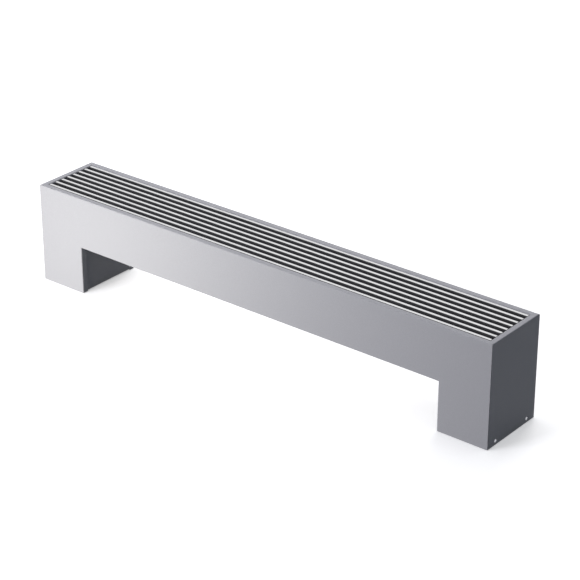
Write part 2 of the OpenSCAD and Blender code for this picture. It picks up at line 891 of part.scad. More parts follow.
// Angle valve body: hexagon foot with the pipe thread, round chamber, neck and union spigot
module valve_body() {
    spigot_l = valve_axis_x - union_x;
    color(brass_colour) difference() {
        union() {
            translate([0, 0, valve_bottom]) cylinder(h = hex_h, r = hex_r(valve_hex_af), $fn = 6);
            upright_cylinder(valve_bottom + hex_h, neck_top, valve_hex_af);
            translate([0, 0, tube_low_z]) sphere(d = valve_bulb_d);
            upright_cylinder(tube_low_z, neck_top, neck_d);
            translate([-spigot_l, 0, tube_low_z]) rotate([0, 90, 0]) cylinder(h = spigot_l, d = union_d);
        }
        upright_cylinder(valve_bottom - overrun, valve_bottom + inlet_depth, inlet_d);
        upright_cylinder(valve_bottom, neck_top, inlet_stop_d);
        upright_cylinder(seat_z, neck_top + overrun, chamber_d);
        translate([-spigot_l - overrun, 0, tube_low_z]) rotate([0, 90, 0])
            cylinder(h = spigot_l + overrun, d = side_bore_d);
    }
}

// Places its children at the supply or the return valve's axis
module on_supply_axis() {
    translate([valve_axis_x, -tube_y, 0]) children();
}

module on_return_axis() {
    translate([valve_axis_x, tube_y, 0]) children();
}

module supply_valve_body() {
    on_supply_axis() valve_body();
}

module return_valve_body() {
    on_return_axis() valve_body();
}

// Screwed insert that guides the pin, with the collar that the handwheel turns on
module supply_valve_insert() {
    color(brass_colour) on_supply_axis() difference() {
        union() {
            upright_cylinder(neck_top - insert_plug_l, neck_top, chamber_d - fit_gap);
            upright_cylinder(neck_top, neck_top + collar_h, wheel_bore_d);
        }
        upright_cylinder(neck_top - insert_plug_l - overrun, neck_top + collar_h + overrun,
            pin_d + 2 * run_gap);
    }
}

module valve_cone(colour) {
    color(colour) upright_cylinder(cone_bottom, cone_bottom + cone_t, cone_d);
}

module supply_valve_cone() {
    on_supply_axis() valve_cone(rubber_colour);
}

module supply_valve_pin() {
    color(steel_colour) on_supply_axis() upright_cylinder(cone_bottom + cone_t, pin_top, pin_d);
}

module wheel_plunger() {
    color(white_colour) on_supply_axis() upright_cylinder(pin_top, pin_top + plunger_l, plunger_d);
}

// Handwheel: fluted cap that turns on the insert's collar and guides the plunger
module handwheel() {
    bottom = neck_top + wheel_lift;
    top = bottom + wheel_h;
    roof = top - wheel_roof_t;
    flute_r = wheel_d / wheel_flutes / 2;
    guide_bottom = pin_top + face_gap;
    color(white_colour) on_supply_axis() difference() {
        union() {
            difference() {
                union() {
                    upright_cylinder(bottom, top - wheel_chamfer, wheel_d);
                    translate([0, 0, top - wheel_chamfer])
                        rotate_extrude() polygon([
                            [0, 0],
                            [wheel_d / 2, 0],
                            [wheel_d / 2 - wheel_chamfer, wheel_chamfer],
                            [0, wheel_chamfer]
                        ]);
                }
                upright_cylinder(bottom - overrun, neck_top + collar_h + face_gap,
                    wheel_bore_d + 2 * run_gap);
                upright_cylinder(bottom, roof, wheel_d - 2 * wheel_wall);
            }
            upright_cylinder(guide_bottom, top - wheel_chamfer, plunger_d + 2 * guide_wall);
        }
        upright_cylinder(guide_bottom - overrun, pin_top + plunger_l + face_gap, plunger_d + 2 * run_gap);
        for (i = [0 : wheel_flutes - 1]) rotate(i * 360 / wheel_flutes)
            translate([wheel_d / 2 + flute_r - wheel_flute_depth, 0, 0])
                upright_cylinder(neck_top + collar_h + overrun, top + overrun, 2 * flute_r);
    }
}

// Bonnet: its rim traps the spindle's head, its hexagonal guide keeps the cone from turning, and
// its thread carries the cap
module return_valve_bonnet() {
    color(brass_colour) on_return_axis() difference() {
        union() {
            upright_cylinder(neck_top - insert_plug_l, neck_top, chamber_d - fit_gap);
            translate([0, 0, neck_top]) cylinder(h = bonnet_hex_h, r = hex_r(bonnet_af), $fn = 6);
            upright_cylinder(neck_top + bonnet_hex_h, bonnet_top, bonnet_thread_d);
        }
        translate([0, 0, neck_top - insert_plug_l - overrun])
            cylinder(h = insert_plug_l + overrun, r = hex_r(hub_af + 2 * run_gap), $fn = 6);
        upright_cylinder(neck_top - overrun, head_bottom, spindle_d + 2 * run_gap);
        upright_cylinder(head_bottom - face_gap, head_top + face_gap, spindle_head_d + 2 * run_gap);
        upright_cylinder(head_top, bonnet_top + overrun, bonnet_rim_d);
    }
}

// Cone with the threaded hexagonal hub by which the spindle draws it up and down
module return_valve_cone() {
    on_return_axis() {
        valve_cone(brass_colour);
        color(brass_colour) difference() {
            translate([0, 0, hub_bottom]) cylinder(h = hub_top - hub_bottom, r = hex_r(hub_af), $fn = 6);
            upright_cylinder(hub_bottom, hub_top + overrun, screw_thread_d + 2 * run_gap);
        }
    }
}

// Spindle that turns in place: head with the key socket, shaft, and the screw inside the cone's hub
module return_valve_spindle() {
    color(brass_colour) on_return_axis() difference() {
        union() {
            upright_cylinder(head_bottom, head_top, spindle_head_d);
            upright_cylinder(neck_top, head_bottom, spindle_d);
            upright_cylinder(hub_bottom + screw_end_gap, neck_top, screw_thread_d);
        }
        translate([0, 0, head_top - key_depth])
            cylinder(h = key_depth + overrun, r = hex_r(spindle_head_d * key_af_share), $fn = 6);
    }
}

// Knurled cap over the return valve's spindle
module return_valve_cap() {
    bottom = neck_top + bonnet_hex_h + face_gap;
    groove = cap_d * cap_groove_share;
    color(white_colour) on_return_axis() difference() {
        upright_cylinder(bottom, bottom + cap_h, cap_d);
        upright_cylinder(bottom - overrun, bonnet_top + cap_roof_gap, bonnet_thread_d + 2 * fit_gap);
        for (i = [0 : wheel_flutes - 1]) rotate(i * 360 / wheel_flutes)
            translate([cap_d / 2, 0, 0])
                upright_cylinder(bottom - overrun, bottom + cap_h + overrun, 2 * groove);
    }
}

// Grille

// Section of a bar in (Y, Z), its face at the origin
module bar_section() {
    half = bar_w / 2;
    flat = half - bar_edge_r;
    for (side = [0, 1]) mirror([side, 0]) translate([flat, -bar_edge_r]) quarter_disc(bar_edge_r);
    polygon([
        [-bar_foot_w / 2, -bar_h],
        [bar_foot_w / 2, -bar_h],
        [bar_foot_w / 2, -bar_h + bar_foot_t],
        [bar_web_t / 2, -bar_h + bar_foot_t + bar_taper],
        [bar_web_t / 2, -bar_face_t - bar_taper],
        [half, -bar_face_t],
        [half, -bar_edge_r],
        [flat, -bar_edge_r],
        [flat, 0],
        [-flat, 0],
        [-flat, -bar_edge_r],
        [-half, -bar_edge_r],
        [-half, -bar_face_t],
        [-bar_web_t / 2, -bar_face_t - bar_taper],
        [-bar_web_t / 2, -bar_h + bar_foot_t + bar_taper],
        [-bar_foot_w / 2, -bar_h + bar_foot_t]
    ]);
}

// Places its children at each rod along the grille
module at_rods() {
    for (i = [0 : rod_count - 1]) translate([(i - (rod_count - 1) / 2) * rod_pitch, 0, rod_z]) children();
}

module grille_bar(i) {
    y = (i - (bar_count + 1) / 2) * bar_pitch;
    color(aluminium_colour) translate([0, y, 0]) difference() {
        translate([0, 0, bar_top]) along_x(2 * bar_half_l) bar_section();
        at_rods() rotate([90, 0, 0]) cylinder(h = bar_w, d = rod_d + fit_gap, center = true);
    }
}

module grille_rods() {
    color(steel_colour) at_rods() rotate([90, 0, 0]) cylinder(h = 2 * rod_half_l, d = rod_d, center = true);
}

// Sleeves on the rods that keep the bars apart
module grille_sleeves() {
    l = bar_pitch - bar_web_t - fit_gap;
    color(black_colour) at_rods() for (i = [1 : bar_count - 1])
        translate([0, (i - bar_count / 2) * bar_pitch, 0]) rotate([90, 0, 0]) difference() {
            cylinder(h = l, d = sleeve_d, center = true);
            cylinder(h = l + overrun, d = rod_d + fit_gap, center = true);
        }
}

// Push-on caps that close the rods outside the outer bars
module grille_rod_caps() {
    y = outer_bar_y + bar_web_t / 2 + rod_cap_t / 2;
    color(steel_colour) at_rods() for (side = [-1, 1])
        translate([0, side * y, 0]) rotate([90, 0, 0]) difference() {
            cylinder(h = rod_cap_t, d = sleeve_d, center = true);
            cylinder(h = rod_cap_t + overrun, d = rod_d + fit_gap, center = true);
        }
}

front_panel();
rear_panel();
left_end_panel();
right_end_panel();
corner_angles();
left_cross_brace();
right_cross_brace();
front_damping_strip();
rear_damping_strip();
left_damping_strip();
right_damping_strip();
left_stand();
right_stand();
casing_screws();
casing_nuts();
exchanger_fins();
front_lower_tube();
front_upper_tube();
rear_lower_tube();
rear_upper_tube();
left_front_bend();
left_rear_bend();
right_bend();
left_exchanger_plate();
right_exchanger_plate();
exchanger_bolts();
exchanger_nuts();
air_vent_body();
air_vent_screw();
supply_tail();
return_tail();
supply_union_nut();
return_union_nut();
supply_gasket();
return_gasket();
supply_valve_body();
return_valve_body();
supply_valve_insert();
supply_valve_pin();
supply_valve_cone();
wheel_plunger();
handwheel();
return_valve_bonnet();
return_valve_spindle();
return_valve_cone();
return_valve_cap();
for (i = [1 : bar_count])
    grille_bar(i);
grille_rods();
grille_sleeves();
grille_rod_caps();
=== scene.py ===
import json
import math
import bmesh
import bpy
import numpy as np
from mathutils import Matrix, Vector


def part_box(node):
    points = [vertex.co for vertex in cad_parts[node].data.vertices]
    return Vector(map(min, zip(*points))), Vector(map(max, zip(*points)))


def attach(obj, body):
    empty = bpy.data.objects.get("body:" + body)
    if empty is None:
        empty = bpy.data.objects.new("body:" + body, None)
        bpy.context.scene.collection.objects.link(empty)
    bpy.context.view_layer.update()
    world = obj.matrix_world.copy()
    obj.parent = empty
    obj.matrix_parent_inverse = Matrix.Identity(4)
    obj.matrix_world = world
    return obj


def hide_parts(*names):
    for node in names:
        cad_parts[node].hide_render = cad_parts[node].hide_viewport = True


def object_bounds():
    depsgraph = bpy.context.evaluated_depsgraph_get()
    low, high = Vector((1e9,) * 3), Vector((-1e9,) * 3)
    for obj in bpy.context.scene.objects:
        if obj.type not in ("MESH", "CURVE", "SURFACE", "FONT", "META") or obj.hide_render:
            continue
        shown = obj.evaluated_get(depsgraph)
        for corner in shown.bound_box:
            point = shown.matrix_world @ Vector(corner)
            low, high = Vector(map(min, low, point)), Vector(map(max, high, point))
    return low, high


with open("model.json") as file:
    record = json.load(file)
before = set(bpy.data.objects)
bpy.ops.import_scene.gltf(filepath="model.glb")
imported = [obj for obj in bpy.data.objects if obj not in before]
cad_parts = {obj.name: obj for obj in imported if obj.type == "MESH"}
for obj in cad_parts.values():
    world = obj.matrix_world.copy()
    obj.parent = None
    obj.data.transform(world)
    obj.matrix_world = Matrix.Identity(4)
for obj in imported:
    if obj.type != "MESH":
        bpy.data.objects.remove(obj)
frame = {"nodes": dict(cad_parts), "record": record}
cadLow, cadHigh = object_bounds()  # the CAD box, before anything is dressed
nodes = frame["nodes"]
subparts = frame["record"]["subparts"]
print("frame loaded:", len(nodes), "pieces")

# Camera: a long lens from the right front, looking down at the casing
cameraPlan = {
    "place": (2.0313, -2.4808, 1.7145),
    "azimuth": 38.80,  # degrees, turned from looking along +Y
    "pitch": 26.65,  # degrees below the horizon
    "focalPixels": 2051.0, "picturePixels": 580.0,  # focal length and picture width
    "sensorWidth": 36.0,
}


def makeCamera(plan):
    lens = bpy.data.cameras.new("photoCamera")
    lens.sensor_width = plan["sensorWidth"]
    lens.lens = plan["focalPixels"] / plan["picturePixels"] * plan["sensorWidth"]
    camera = bpy.data.objects.new("photoCamera", lens)
    bpy.context.scene.collection.objects.link(camera)
    camera.location = plan["place"]
    camera.rotation_euler = (math.radians(90 - plan["pitch"]), 0, math.radians(plan["azimuth"]))
    bpy.context.scene.camera = camera


makeCamera(cameraPlan)
print("camera placed")


# Helpers for node trees

nodeStep = (220, 280)  # from one node to the next in the editor, across and down
mixSockets = {"FLOAT": (2, 3, 0), "RGBA": (6, 7, 2)}  # a Mix node's two inputs and its result
noiseSpread = (0.3, 0.7)  # noise seldom leaves these limits, so they are drawn out to 0 and 1


def feed(tree, socket, value):
    # the value is another node's output, or what the socket holds by itself
    if isinstance(value, bpy.types.NodeSocket):
        tree.links.new(value, socket)
    elif socket.type == "RGBA":
        socket.default_value = (*value, 1.0)
    else:
        socket.default_value = value


def feedAll(tree, node, sockets):
    for name, value in sockets.items():
        feed(tree, node.inputs[name], value)


def addNode(tree, kind, sockets=None, **settings):
    # sockets gives a value or a link for each input named in it
    made = tree.nodes.new(kind)
    for name, value in settings.items():
        setattr(made, name, value)
    feedAll(tree, made, sockets or {})
    return made


def mathNode(tree, operation, first, second, clamp=False):
    made = addNode(tree, "ShaderNodeMath", {0: first, 1: second}, operation=operation, use_clamp=clamp)
    return made.outputs[0]


def mixNode(tree, kind, factor, first, second):
    firstSocket, secondSocket, result = mixSockets[kind]
    made = addNode(tree, "ShaderNodeMix", {0: factor, firstSocket: first, secondSocket: second},
                   data_type=kind)
    return made.outputs[result]


def rampNode(tree, source, limits, results=(0.0, 1.0)):
    # a smooth step from the first result to the second, as the source goes between the limits
    made = addNode(tree, "ShaderNodeMapRange",
                   {"Value": source, "From Min": limits[0], "From Max": limits[1],
                    "To Min": results[0], "To Max": results[1]}, interpolation_type="SMOOTHSTEP")
    return made.outputs["Result"]


def noiseNode(tree, vector, scale, texture):
    detail, roughness = texture
    made = addNode(tree, "ShaderNodeTexNoise",
                   {"Vector": vector, "Scale": scale, "Detail": detail, "Roughness": roughness})
    return made.outputs["Fac"]


def columnOf(node):
    # counted leftwards from 0, one further than the furthest node that this one feeds
    fed = [wire.to_node for socket in node.outputs for wire in socket.links]
    return max((columnOf(other) + 1 for other in fed), default=0)


def layOut(tree):
    filled = {}
    for node in tree.nodes:
        column = columnOf(node)
        row = filled.get(column, 0)
        node.location = (-nodeStep[0] * column, -nodeStep[1] * row)
        filled[column] = row + 1


def emptyTree(owner):
    owner.use_nodes = True
    owner.node_tree.nodes.clear()
    return owner.node_tree


def openGroup(name, vectors, values):
    # the labels of the inputs that are vectors, and of those that are plain values
    tree = bpy.data.node_groups.new(name, "ShaderNodeTree")
    for kind, labels in (("NodeSocketVector", vectors), ("NodeSocketFloat", values)):
        for label in labels:
            tree.interface.new_socket(name=label, in_out="INPUT", socket_type=kind)
    return tree, addNode(tree, "NodeGroupInput").outputs


def closeGroup(tree, results):
    for label in results:
        tree.interface.new_socket(name=label, in_out="OUTPUT", socket_type="NodeSocketFloat")
    addNode(tree, "NodeGroupOutput", results)
    layOut(tree)
    return tree


def useGroup(tree, group, sockets):
    return addNode(tree, "ShaderNodeGroup", sockets, node_tree=group).outputs


# Shared effects: each is a group that puts out masks or heights only

wearAndHighlightPlan = {
    "samples": 6,
    "lean": (0.985, 0.80),  # cosine of the lean where the wear and painted highlight begin and where they are full
    "noise": (3.0, 0.6),  # detail and roughness, as in the other plans for noise
    "patches": (0.35, 0.70), "least": 0.25,  # the noise's limits, and the wear and highlight left below them
}


def edgeWearAndHighlightGroup(plan):
    # how far a rounded normal leans away from the true one, broken up by noise: edge wear and a painted
    # edge highlight
    tree, given = openGroup("edgeWearAndHighlight", ["Vector"], ["Radius", "Scale", "Strength"])
    rounded = addNode(tree, "ShaderNodeBevel", {"Radius": given["Radius"]}, samples=plan["samples"])
    plain = addNode(tree, "ShaderNodeNewGeometry")
    lean = addNode(tree, "ShaderNodeVectorMath", {0: rounded.outputs[0], 1: plain.outputs["Normal"]},
                   operation="DOT_PRODUCT")
    edge = rampNode(tree, lean.outputs["Value"], plan["lean"])
    rub = noiseNode(tree, given["Vector"], given["Scale"], plan["noise"])
    broken = rampNode(tree, rub, plan["patches"], (plan["least"], 1.0))
    mask = mathNode(tree, "MULTIPLY", edge, broken)
    mask = mathNode(tree, "MULTIPLY", mask, given["Strength"], clamp=True)
    return closeGroup(tree, {"Mask": mask})


grainPlan = {"grain": (2.0, 0.55), "wave": (1.0, 0.4)}  # detail and roughness


def fineGrainGroup(plan):
    # two sizes of noise: a fine grain and a soft waviness, and a height mixed from both
    tree, given = openGroup("fineGrain", ["Vector"], ["Scale", "Wave Scale", "Wave Share"])
    grain = noiseNode(tree, given["Vector"], given["Scale"], plan["grain"])
    wave = noiseNode(tree, given["Vector"], given["Wave Scale"], plan["wave"])
    height = mixNode(tree, "FLOAT", given["Wave Share"], grain, wave)
    return closeGroup(tree, {"Height": height, "Grain": grain, "Wave": wave})


brushPlan = {
    "lines": (4.0, 0.7), "bands": (1.0, 0.4),  # detail and roughness
    "bandScale": 0.15,  # the bands' scale as a share of the lines'
    "lineSpread": (0.32, 0.68),  # noise where the lines are 0 and 1
}


def brushedGroup(plan):
    # noise drawn out along one axis, as a brush or a die leaves it
    tree, given = openGroup("brushedLines", ["Vector", "Stretch"], ["Scale"])
    drawn = addNode(tree, "ShaderNodeVectorMath", {0: given["Vector"], 1: given["Stretch"]},
                    operation="MULTIPLY").outputs[0]
    lines = noiseNode(tree, drawn, given["Scale"], plan["lines"])
    slow = mathNode(tree, "MULTIPLY", given["Scale"], plan["bandScale"])
    bands = noiseNode(tree, drawn, slow, plan["bands"])
    return closeGroup(tree, {"Lines": rampNode(tree, lines, plan["lineSpread"]),
                             "Bands": rampNode(tree, bands, noiseSpread)})


dustPlan = {
    "facing": (0.3, 0.95),  # upward part of the normal where dust begins to lie and where it lies fully
    "noise": (6.0, 0.65), "patches": (0.3, 0.75),
}


def dustGroup(plan):
    # dust lies on faces that look up, thicker in soft patches
    tree, given = openGroup("settledDust", ["Vector"], ["Scale", "Amount"])
    plain = addNode(tree, "ShaderNodeNewGeometry")
    parts = addNode(tree, "ShaderNodeSeparateXYZ", {0: plain.outputs["Normal"]})
    facing = rampNode(tree, parts.outputs["Z"], plan["facing"])
    patches = noiseNode(tree, given["Vector"], given["Scale"], plan["noise"])
    mask = mathNode(tree, "MULTIPLY", facing, rampNode(tree, patches, plan["patches"]))
    mask = mathNode(tree, "MULTIPLY", mask, given["Amount"], clamp=True)
    return closeGroup(tree, {"Mask": mask})


edgeWearAndHighlight = edgeWearAndHighlightGroup(wearAndHighlightPlan)
fineGrain = fineGrainGroup(grainPlan)
brushedLines = brushedGroup(brushPlan)
settledDust = dustGroup(dustPlan)
print("shared effects ready")


# Materials, one for each finish of the convector

def startMaterial(name):
    material = bpy.data.materials.new(name)
    tree = emptyTree(material)
    shader = addNode(tree, "ShaderNodeBsdfPrincipled")
    addNode(tree, "ShaderNodeOutputMaterial", {"Surface": shader.outputs[0]})
    coordinates = addNode(tree, "ShaderNodeTexCoord").outputs["Object"]
    return material, tree, shader, coordinates


def bumpFrom(tree, height, look):
    made = addNode(tree, "ShaderNodeBump",
                   {"Height": height, "Strength": look["bump"], "Distance": look["bumpDepth"]})
    return made.outputs["Normal"]


def wornAndHighlightedEdges(tree, coordinates, colour, look):
    # the colour gives way to a lighter one along edges: rubbed wear, and a painted highlight
    wornAndLit = useGroup(tree, edgeWearAndHighlight, {"Vector": coordinates, "Radius": look["edgeRadius"],
                                     "Scale": look["edgeScale"], "Strength": look["edgeStrength"]})
    return mixNode(tree, "RGBA", wornAndLit["Mask"], colour, look["edge"])


def dusted(tree, coordinates, colour, look):
    dust = useGroup(tree, settledDust, {"Vector": coordinates, "Scale": look["dustScale"],
                                        "Amount": look["dust"]})
    return mixNode(tree, "RGBA", dust["Mask"], colour, look["dustColour"])


def grainedSkin(name, look):
    # paint, black coat, rubber or moulded plastic: a fine grain in the colour, a soft waviness in the
    # shine and the relief, rubbed edges that are also a painted highlight, and a little dust
    material, tree, shader, coordinates = startMaterial(name)
    skin = useGroup(tree, fineGrain, {"Vector": coordinates, "Scale": look["grainScale"],
                                      "Wave Scale": look["waveScale"], "Wave Share": look["waveShare"]})
    grain = skin["Grain"]
    if "flakeSpread" in look:
        grain = rampNode(tree, grain, look["flakeSpread"])
    colour = mixNode(tree, "RGBA", grain, look["dark"], look["light"])
    colour = wornAndHighlightedEdges(tree, coordinates, colour, look)
    colour = dusted(tree, coordinates, colour, look)
    feedAll(tree, shader, {
        "Base Color": colour,
        "Roughness": rampNode(tree, skin["Wave"], noiseSpread, look["roughness"]),
        "Specular IOR Level": look["specular"],
        "Normal": bumpFrom(tree, skin["Height"], look),
    })
    layOut(tree)
    return material


# the edge colours are lighter than the surfaces: wear along edges, and a painted highlight
skinBase = {"edgeScale": 500.0, "dustScale": 14.0, "dustColour": (0.20, 0.20, 0.19)}
casingLook = {
    **skinBase, "dark": (0.442, 0.442, 0.460), "light": (0.538, 0.538, 0.558),
    "flakeSpread": (0.3, 0.75),  # noise where the paint has none of its bright flake and is full of it
    "grainScale": 2600.0, "waveScale": 420.0, "waveShare": 0.7, "bump": 0.17, "bumpDepth": 0.0004,
    "edge": (0.66, 0.66, 0.68), "edgeStrength": 0.30, "edgeRadius": 0.0011, "edgeScale": 260.0,
    "roughness": (0.40, 0.50), "specular": 0.2, "dust": 0.05, "dustColour": (0.55, 0.54, 0.52),
}
blackSteelLook = {
    **skinBase, "dark": (0.018, 0.018, 0.019), "light": (0.032, 0.032, 0.034),
    "grainScale": 1800.0, "waveScale": 300.0, "waveShare": 0.5, "bump": 0.2, "bumpDepth": 0.0003,
    "edge": (0.10, 0.10, 0.10), "edgeStrength": 0.4, "edgeRadius": 0.0005,
    "roughness": (0.50, 0.62), "specular": 0.3, "dust": 0.05,
}
finLook = {
    **skinBase, "dark": (0.012, 0.012, 0.013), "light": (0.024, 0.024, 0.026),
    "grainScale": 1400.0, "waveScale": 180.0, "waveShare": 0.8, "bump": 0.35, "bumpDepth": 0.0006,
    "edge": (0.07, 0.07, 0.075), "edgeStrength": 0.5, "edgeRadius": 0.0003,
    "roughness": (0.42, 0.60), "specular": 0.35, "dust": 0.04,
}
rubberLook = {
    **skinBase, "dark": (0.012, 0.012, 0.012), "light": (0.030, 0.030, 0.029),
    "grainScale": 2600.0, "waveScale": 900.0, "waveShare": 0.4, "bump": 0.5, "bumpDepth": 0.0004,
    "edge": (0.05, 0.05, 0.05), "edgeStrength": 0.3, "edgeRadius": 0.0003,
    "roughness": (0.78, 0.92), "specular": 0.25, "dust": 0.05,
}
blackPlasticLook = {
    **skinBase, "dark": (0.014, 0.014, 0.015), "light": (0.024, 0.024, 0.025),
    "grainScale": 2200.0, "waveScale": 500.0, "waveShare": 0.4, "bump": 0.15, "bumpDepth": 0.0002,
    "edge": (0.05, 0.05, 0.05), "edgeStrength": 0.3, "edgeRadius": 0.0003,
    "roughness": (0.46, 0.58), "specular": 0.4, "dust": 0.03,
}
whitePlasticLook = {
    **skinBase, "dark": (0.72, 0.72, 0.70), "light": (0.80, 0.80, 0.78),
    "grainScale": 1500.0, "waveScale": 260.0, "waveShare": 0.5, "bump": 0.12, "bumpDepth": 0.0002,
    "edge": (0.86, 0.86, 0.85), "edgeStrength": 0.4, "edgeRadius": 0.0006,
    "roughness": (0.38, 0.50), "specular": 0.45, "dust": 0.05, "dustColour": (0.58, 0.56, 0.53),
}


def plainMetal(name, look):
    # drawn or turned metal with patches of tarnish, and brighter edges that are wear and a painted
    # highlight
    material, tree, shader, coordinates = startMaterial(name)
    lines = useGroup(tree, brushedLines, {"Vector": coordinates, "Stretch": look["stretch"],
                                          "Scale": look["scale"]})
    colour = mixNode(tree, "RGBA", lines["Lines"], look["dark"], look["light"])
    patches = useGroup(tree, fineGrain, {"Vector": coordinates, "Scale": look["patchScale"],
                                         "Wave Scale": look["patchScale"] * look["tarnishScale"]})
    tarnish = rampNode(tree, patches["Wave"], look["tarnishRange"])
    tarnish = mathNode(tree, "MULTIPLY", tarnish, look["tarnish"])
    colour = mixNode(tree, "RGBA", tarnish, colour, look["tarnishColour"])
    feedAll(tree, shader, {
        "Base Color": wornAndHighlightedEdges(tree, coordinates, colour, look),
        "Metallic": look["metallic"],
        "Roughness": rampNode(tree, patches["Grain"], noiseSpread, look["roughness"]),
        "Normal": bumpFrom(tree, lines["Lines"], look),
    })
    layOut(tree)
    return material


metalBase = {
    "metallic": 1.0, "edgeScale": 400.0, "scale": 2.0, "bumpDepth": 0.0002,
    "tarnishScale": 0.3,  # scale of the tarnished patches as a share of patchScale
}
copperLook = {
    **metalBase, "dark": (0.73, 0.38, 0.24), "light": (0.82, 0.45, 0.29),
    "tarnishColour": (0.34, 0.16, 0.09), "tarnish": 0.60, "tarnishRange": (0.42, 0.70),
    "edge": (0.90, 0.55, 0.38), "edgeStrength": 0.5, "edgeRadius": 0.0005,
    "roughness": (0.26, 0.42), "patchScale": 160.0, "stretch": (30.0, 260.0, 260.0), "bump": 0.07,
}
brassLook = {
    **metalBase, "dark": (0.69, 0.54, 0.27), "light": (0.77, 0.62, 0.32),
    "tarnishColour": (0.36, 0.25, 0.11), "tarnish": 0.35, "tarnishRange": (0.45, 0.75),
    "edge": (0.90, 0.78, 0.48), "edgeStrength": 0.7, "edgeRadius": 0.0004, "scale": 2.6,
    "roughness": (0.24, 0.40), "patchScale": 220.0, "stretch": (40.0, 40.0, 900.0), "bump": 0.10,
}
zincLook = {
    **metalBase, "dark": (0.50, 0.51, 0.53), "light": (0.70, 0.71, 0.73),
    "tarnishColour": (0.40, 0.41, 0.43), "tarnish": 0.5, "tarnishRange": (0.40, 0.70),
    "edge": (0.85, 0.86, 0.88), "edgeStrength": 0.5, "edgeRadius": 0.0004,
    "roughness": (0.30, 0.48), "patchScale": 420.0, "stretch": (60.0, 60.0, 60.0), "bump": 0.08,
}
brightLook = {
    **metalBase, "dark": (0.42, 0.43, 0.45), "light": (0.56, 0.57, 0.59),
    "tarnishColour": (0.34, 0.35, 0.37), "tarnish": 0.4, "tarnishRange": (0.45, 0.75),
    "edge": (0.70, 0.71, 0.73), "edgeStrength": 0.6, "edgeRadius": 0.0003, "bumpDepth": 0.0001,
    "roughness": (0.16, 0.28), "patchScale": 500.0, "stretch": (40.0, 400.0, 400.0), "bump": 0.06,
}
solderLook = {
    **metalBase, "dark": (0.50, 0.47, 0.42), "light": (0.72, 0.69, 0.62),
    "tarnishColour": (0.30, 0.20, 0.14), "tarnish": 0.5, "tarnishRange": (0.40, 0.70),
    "edge": (0.80, 0.78, 0.72), "edgeStrength": 0.3, "edgeRadius": 0.0003, "bumpDepth": 0.0003,
    "roughness": (0.30, 0.46), "patchScale": 500.0, "stretch": (200.0, 200.0, 200.0), "bump": 0.25,
}


def barAluminium(name, look):
    # bright drawn face, and below it a black coat that is also painted shade, on the sides and the front
    # edge
    material, tree, shader, coordinates = startMaterial(name)
    height = addNode(tree, "ShaderNodeSeparateXYZ", {0: coordinates}).outputs["Z"]
    lines = useGroup(tree, brushedLines, {"Vector": coordinates, "Stretch": look["stretch"],
                                          "Scale": look["scale"]})
    ragged = mathNode(tree, "MULTIPLY", lines["Lines"], look["raggedEdge"])
    height = mathNode(tree, "ADD", height, ragged)
    bare = rampNode(tree, height, (look["coatShadeTop"], look["coatShadeTop"] + look["coatShadeBlend"]))
    streak = mixNode(tree, "RGBA", lines["Lines"], look["dark"], look["light"])
    grain = useGroup(tree, fineGrain, {"Vector": coordinates, "Scale": look["coatGrain"]})["Grain"]
    # painted shade: the dark coat stands for the shade between the bars as well as for a black coat
    coatAndShade = mixNode(tree, "RGBA", grain, look["coatShadeDark"], look["coatShadeLight"])
    polish = rampNode(tree, lines["Bands"], (0.0, 1.0), look["roughness"])
    feedAll(tree, shader, {
        "Base Color": mixNode(tree, "RGBA", bare, coatAndShade, streak),
        "Metallic": bare,
        "Roughness": mixNode(tree, "FLOAT", bare, look["coatRoughness"], polish),
        "Specular IOR Level": look["specular"],
        "Normal": bumpFrom(tree, lines["Lines"], look),
    })
    layOut(tree)
    return material


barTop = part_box("grille_bar_1")[1].z
barLook = {
    "dark": (0.66, 0.66, 0.67), "light": (0.85, 0.85, 0.86), "roughness": (0.27, 0.38),
    "stretch": (9.0, 900.0, 900.0), "scale": 2.4, "specular": 0.3, "bump": 0.08, "bumpDepth": 0.0002,
    # the coat colours are a black coat and painted shade in one, as bright as the shaded gaps between
    # bars
    "coatShadeDark": (0.070, 0.070, 0.073), "coatShadeLight": (0.105, 0.105, 0.109),
    "coatRoughness": 0.55, "coatGrain": 1800.0,
    "coatShadeTop": barTop - 0.00009,  # where the black coat and its painted shade end, just under the bar's face
    "coatShadeBlend": 0.00004, "raggedEdge": 0.00003,
}

finishes = {
    "casing_paint": grainedSkin("casingPaint", casingLook),
    "grille_aluminium": barAluminium("barAluminium", barLook),
    "copper": plainMetal("copperTube", copperLook),
    "valve_brass": plainMetal("turnedBrass", brassLook),
    "zinc_steel": plainMetal("zincSteel", zincLook),
    "bright_steel": plainMetal("brightSteel", brightLook),
    "black_steel": grainedSkin("blackSteel", blackSteelLook),
    "black_fins": grainedSkin("blackFins", finLook),
    "damping_rubber": grainedSkin("dampingRubber", rubberLook),
    "black_plastic": grainedSkin("blackPlastic", blackPlasticLook),
    "white_plastic": grainedSkin("whitePlastic", whitePlasticLook),
}
solder = plainMetal("silverSolder", solderLook)

for piece in subparts:
    for slot in nodes[piece["node"]].material_slots:
        slot.material = finishes[piece["material_slot"]]
print("finishes on", len(subparts), "pieces")


# Surfaces: each is a grid of points over two parameters, closed round or open

mergeReach = 0.000001  # points nearer than this become one


def gridFaces(points, closedAlong, closedRound):
    # points has shape (along, round, 3); neighbours on the grid are joined by quads
    rows, columns = points.shape[:2]
    row = np.arange(rows if closedAlong else rows - 1)
    column = np.arange(columns if closedRound else columns - 1)
    row, column = np.meshgrid(row, column, indexing="ij")
    nextRow, nextColumn = (row + 1) % rows, (column + 1) % columns
    quads = np.stack([row * columns + column, nextRow * columns + column,
                      nextRow * columns + nextColumn, row * columns + nextColumn], -1).reshape(-1, 4)
    return points.reshape(-1, 3), quads


